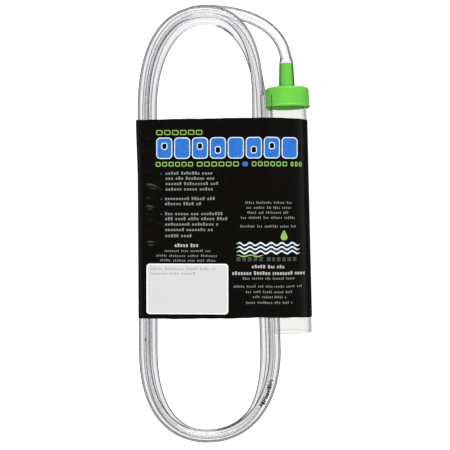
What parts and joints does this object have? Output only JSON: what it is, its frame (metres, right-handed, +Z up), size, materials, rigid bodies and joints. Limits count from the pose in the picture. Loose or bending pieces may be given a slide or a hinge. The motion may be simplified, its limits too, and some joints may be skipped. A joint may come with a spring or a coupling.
{
  "type": "gravel vacuum siphon",
  "caption": "Small aquarium gravel vacuum: rigid clear tube in a barbed cap, flexible siphon hose coiled flat, held in a printed film sleeve with a price label.",
  "frame": {"origin": "on the flat underside of the sleeve's back panel, under the middle of the sleeve, on the table the pack lies on", "axes": "+Z up, away from the table; +Y along the pack towards the cap; +X towards the side where the gravel tube lies. The tube's axis lies 15 mm above the table and leans 1.35 degrees from Y."},
  "size_m": [0.1176, 0.2895, 0.0322],
  "materials": {
    "clear_tube": "rigid clear plastic, polished",
    "clear_hose": "flexible clear vinyl, smooth and slightly grey where strands overlap",
    "green_cap": "moulded plastic, satin",
    "printed_film": null,
    "label": "plain white label stock, semi matte"
  },
  "bodies": {
    "hose": {"hose_coil": "clear_hose"},
    "sleeve": {"printed_sleeve": "printed_film", "price_label": "label"},
    "cap": {"tube_cap": "green_cap"},
    "tube": {"gravel_tube": "clear_tube"},
    "free_end": {"hose_free_end": "clear_hose"}
  },
  "joints": [
    {"name": "sleeve_slide", "type": "slide", "parent": "hose", "child": "sleeve", "axis": [0.0236, -0.9997, 0], "range_m": [0, 0.225]},
    {"name": "cap_swivel", "type": "hinge", "parent": "hose", "child": "cap", "pos_m": [0.0418, 0.0845, 0.015], "axis": [0.0236, -0.9997, 0], "continuous": true},
    {"name": "tube_pull", "type": "slide", "parent": "cap", "child": "tube", "axis": [0.0236, -0.9997, 0], "range_m": [0, 0.03]},
    {"name": "tail_lift", "type": "hinge", "parent": "hose", "child": "free_end", "pos_m": [0.02815, 0.06557, 0.0314], "axis": [0.9994, 0.0351, 0], "range_deg": [0, 35], "stiffness_Nm_per_rad": 0.02}
  ]
}
